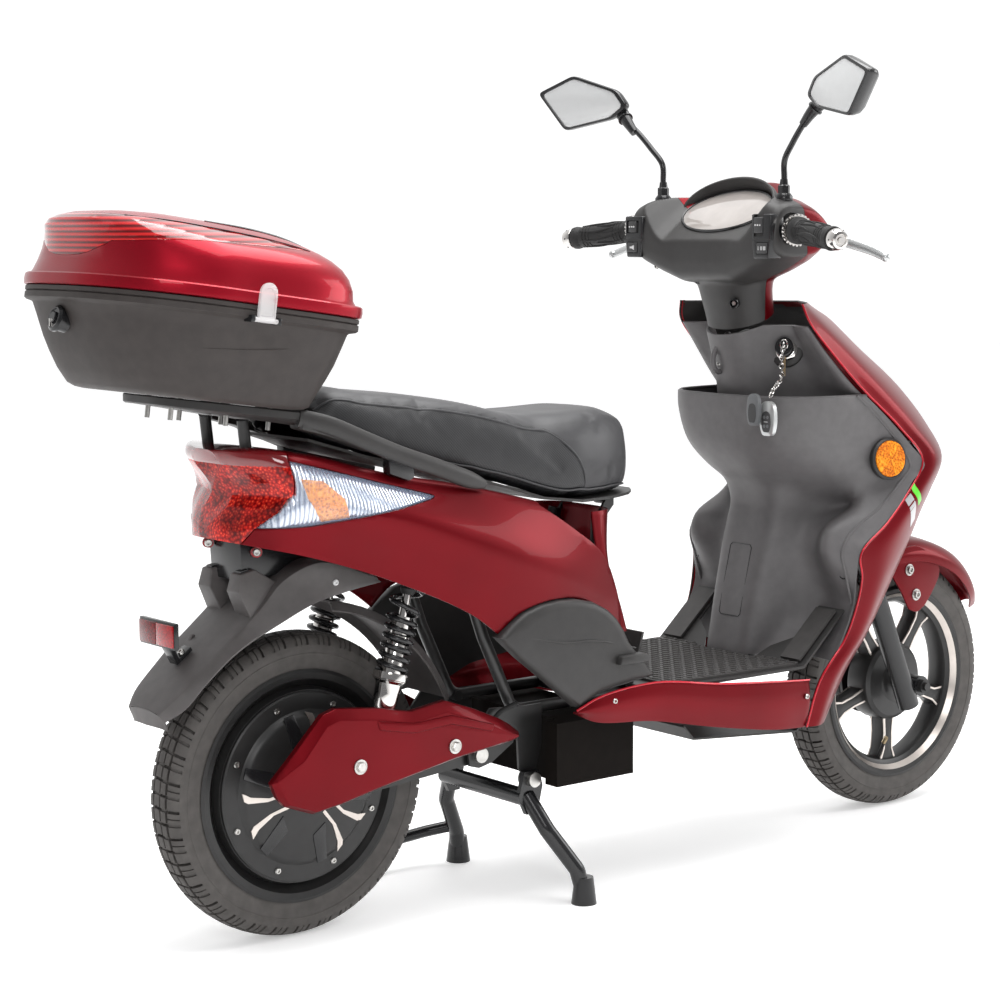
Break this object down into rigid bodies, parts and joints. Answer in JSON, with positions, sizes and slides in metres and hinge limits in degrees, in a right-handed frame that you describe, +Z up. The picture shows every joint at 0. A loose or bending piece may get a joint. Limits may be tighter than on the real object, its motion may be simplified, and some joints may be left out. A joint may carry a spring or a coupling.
{
  "type": "moped scooter",
  "caption": "Step-through electric moped with bodywork, sprung fork and swingarm, centre stand, hinged seat, mirrors and a lidded top box on a rear rack.",
  "frame": {"origin": "on the ground, midway along the length and across the width", "axes": "+X forward, +Y to the rider's left, +Z up"},
  "size_m": [1.7986, 0.7564, 1.238],
  "materials": {
    "red_panel": "metallic candy red, clear coat",
    "black_plastic": "fine grain, satin",
    "black_steel": "satin black powder coat",
    "chrome": "bright",
    "zinc_steel": "zinc plated",
    "cast_alloy": "black with machined edges",
    "tyre": "block tread",
    "rubber": "ribbed",
    "vinyl": "stitched vinyl over foam",
    "red_lens": "clear red plastic, faceted",
    "clear_lens": "clear plastic",
    "mirror_shell": "satin",
    "silver_plastic": "silver",
    "amber": "prismatic"
  },
  "bodies": {
    "chassis": {"main_frame": "black_steel", "frame_bolts": "zinc_steel", "footboard": "black_plastic", "floor_mat": "rubber", "inner_leg_shield": "black_plastic", "front_apron": "red_panel", "right_leg_panel": "red_panel", "left_leg_panel": "red_panel", "belly_pan": "black_plastic", "battery_box": "black_plastic", "side_covers": "black_plastic", "right_tail_panel": "red_panel", "left_tail_panel": "red_panel", "under_seat_cover": "red_panel", "tail_light": "red_lens", "rear_lenses": "clear_lens", "grab_rack": "black_steel", "rear_fender": "black_plastic", "reflectors": "amber", "ignition_lock": "chrome", "box_base": "black_plastic"},
    "seat": {"seat_base": "black_plastic", "seat_cushion": "vinyl"},
    "box_lid": {"box_lid": "red_panel", "box_lens": "red_lens"},
    "right_box_latch": {"right_box_latch": "clear_lens"},
    "left_box_latch": {"left_box_latch": "clear_lens"},
    "box_lock": {"box_lock": "black_plastic"},
    "swingarm": {"swingarm": "black_steel", "swingarm_covers": "red_panel", "motor_cable": "rubber"},
    "rear_wheel": {"rear_tyre": "tyre", "hub_motor": "cast_alloy"},
    "shock_top": {"shock_rods": "zinc_steel", "shock_springs": "black_steel"},
    "shock_bottom": {"shock_cylinders": "chrome"},
    "center_stand": {"center_stand": "black_steel"},
    "steering": {"fork_stem": "black_steel", "handlebar": "zinc_steel", "rear_bar_cover": "black_plastic", "front_bar_cover": "red_panel", "cockpit_lenses": "clear_lens", "left_grip": "rubber", "mirror_stalks": "black_steel"},
    "fork_lower": {"fork_legs": "black_steel", "front_axle": "zinc_steel", "front_fender": "red_panel"},
    "front_wheel": {"front_tyre": "tyre", "front_wheel": "cast_alloy"},
    "throttle": {"throttle_grip": "rubber"},
    "left_brake_lever": {"left_brake_lever": "zinc_steel"},
    "right_brake_lever": {"right_brake_lever": "zinc_steel"},
    "left_mirror": {"left_mirror": "mirror_shell"},
    "right_mirror": {"right_mirror": "mirror_shell"},
    "horn_button": {"horn_button": "black_plastic"},
    "indicator_switch": {"indicator_switch": "silver_plastic"},
    "lamp_switch": {"lamp_switch": "black_plastic"},
    "speed_switch": {"speed_switch": "black_plastic"},
    "key": {"ignition_key": "black_plastic"},
    "key_fobs": {"key_fobs": "silver_plastic"}
  },
  "joints": [
    {"name": "steering_turn", "type": "hinge", "parent": "chassis", "child": "steering", "pos_m": [0.33, 0, 0.84], "axis": [-0.4067, 0, 0.9135], "range_deg": [-40, 40]},
    {"name": "fork_slide", "type": "slide", "parent": "steering", "child": "fork_lower", "axis": [-0.4067, 0, 0.9135], "range_m": [0, 0.04], "stiffness_N_per_m": 9000, "springref_m": -0.055},
    {"name": "front_wheel_spin", "type": "hinge", "parent": "fork_lower", "child": "front_wheel", "pos_m": [0.6773, 0, 0.215], "axis": [0, 1, 0], "continuous": true},
    {"name": "swingarm_pivot", "type": "hinge", "parent": "chassis", "child": "swingarm", "pos_m": [-0.2707, 0, 0.231], "axis": [0, 1, 0], "range_deg": [0, 6], "stiffness_Nm_per_rad": 1500, "springref_deg": -6.88},
    {"name": "shock_tilt", "type": "hinge", "parent": "chassis", "child": "shock_top", "pos_m": [-0.3847, 0, 0.54], "axis": [0, 1, 0], "range_deg": [-1, 0.2]},
    {"name": "shock_slide", "type": "slide", "parent": "shock_top", "child": "shock_bottom", "axis": [0.2614, 0, 0.9652], "range_m": [0, 0.0205], "deforming": ["shock_springs"]},
    {"name": "rear_wheel_spin", "type": "hinge", "parent": "swingarm", "child": "rear_wheel", "pos_m": [-0.5397, 0, 0.215], "axis": [0, 1, 0], "continuous": true},
    {"name": "stand_fold", "type": "hinge", "parent": "chassis", "child": "center_stand", "pos_m": [-0.1817, 0, 0.184], "axis": [0, 1, 0], "range_deg": [0, 70]},
    {"name": "seat_open", "type": "hinge", "parent": "chassis", "child": "seat", "pos_m": [0.0123, 0, 0.577], "axis": [0, 1, 0], "range_deg": [0, 65]},
    {"name": "box_lid_open", "type": "hinge", "parent": "chassis", "child": "box_lid", "pos_m": [-0.51171, 0, 0.86373], "axis": [0, 1, 0], "range_deg": [0, 75]},
    {"name": "right_latch_open", "type": "hinge", "parent": "chassis", "child": "right_box_latch", "pos_m": [-0.69953, -0.2015, 0.87094], "axis": [0.9903, 0, -0.1392], "range_deg": [0, 100]},
    {"name": "left_latch_open", "type": "hinge", "parent": "chassis", "child": "left_box_latch", "pos_m": [-0.69953, 0.2015, 0.87094], "axis": [-0.9903, 0, 0.1392], "range_deg": [0, 100]},
    {"name": "box_lock_turn", "type": "hinge", "parent": "chassis", "child": "box_lock", "pos_m": [-0.87361, 0, 0.86814], "axis": [-0.9437, 0, 0.3307], "range_deg": [0, 90]},
    {"name": "throttle_twist", "type": "hinge", "parent": "steering", "child": "throttle", "pos_m": [0.24575, -0.25251, 0.97444], "axis": [-0.2911, -0.9502, -0.1113], "range_deg": [0, 65], "stiffness_Nm_per_rad": 0.25, "springref_deg": -17.19},
    {"name": "left_brake_pull", "type": "hinge", "parent": "steering", "child": "left_brake_lever", "pos_m": [0.3103, 0.185, 0.976], "axis": [0, 0, 1], "range_deg": [0, 18], "stiffness_Nm_per_rad": 4, "springref_deg": -8.59},
    {"name": "right_brake_pull", "type": "hinge", "parent": "steering", "child": "right_brake_lever", "pos_m": [0.3103, -0.185, 0.976], "axis": [0, 0, -1], "range_deg": [0, 18], "stiffness_Nm_per_rad": 4, "springref_deg": -8.59},
    {"name": "left_mirror_turn", "type": "hinge", "parent": "steering", "child": "left_mirror", "pos_m": [0.2713, 0.206, 1.156], "axis": [0, 0, 1], "range_deg": [-20, 20]},
    {"name": "right_mirror_turn", "type": "hinge", "parent": "steering", "child": "right_mirror", "pos_m": [0.2713, -0.206, 1.156], "axis": [0, 0, 1], "range_deg": [-20, 20]},
    {"name": "horn_press", "type": "slide", "parent": "steering", "child": "horn_button", "axis": [1, 0, 0], "range_m": [0, 0.002], "stiffness_N_per_m": 600, "springref_m": -0.002},
    {"name": "indicator_slide", "type": "slide", "parent": "steering", "child": "indicator_switch", "axis": [0, 1, 0], "range_m": [-0.004, 0.004]},
    {"name": "lamp_slide", "type": "slide", "parent": "steering", "child": "lamp_switch", "axis": [0, 1, 0], "range_m": [-0.004, 0.004]},
    {"name": "speed_rock", "type": "hinge", "parent": "steering", "child": "speed_switch", "pos_m": [0.2413, -0.146, 0.955], "axis": [0, 0, 1], "range_deg": [-4, 4]},
    {"name": "key_turn", "type": "hinge", "parent": "chassis", "child": "key", "pos_m": [0.3563, -0.076, 0.793], "axis": [0.7822, 0.5215, -0.341], "range_deg": [0, 55]},
    {"name": "fobs_swing", "type": "hinge", "parent": "chassis", "child": "key_fobs", "pos_m": [0.33518, -0.09208, 0.80621], "axis": [-0.436, 0.9, 0], "range_deg": [0, 40]}
  ],
  "couplings": [
    {"joint": "shock_tilt", "follows": "swingarm_pivot", "ratio": -0.13},
    {"joint": "shock_slide", "follows": "swingarm_pivot", "m_per_rad": 0.189}
  ]
}
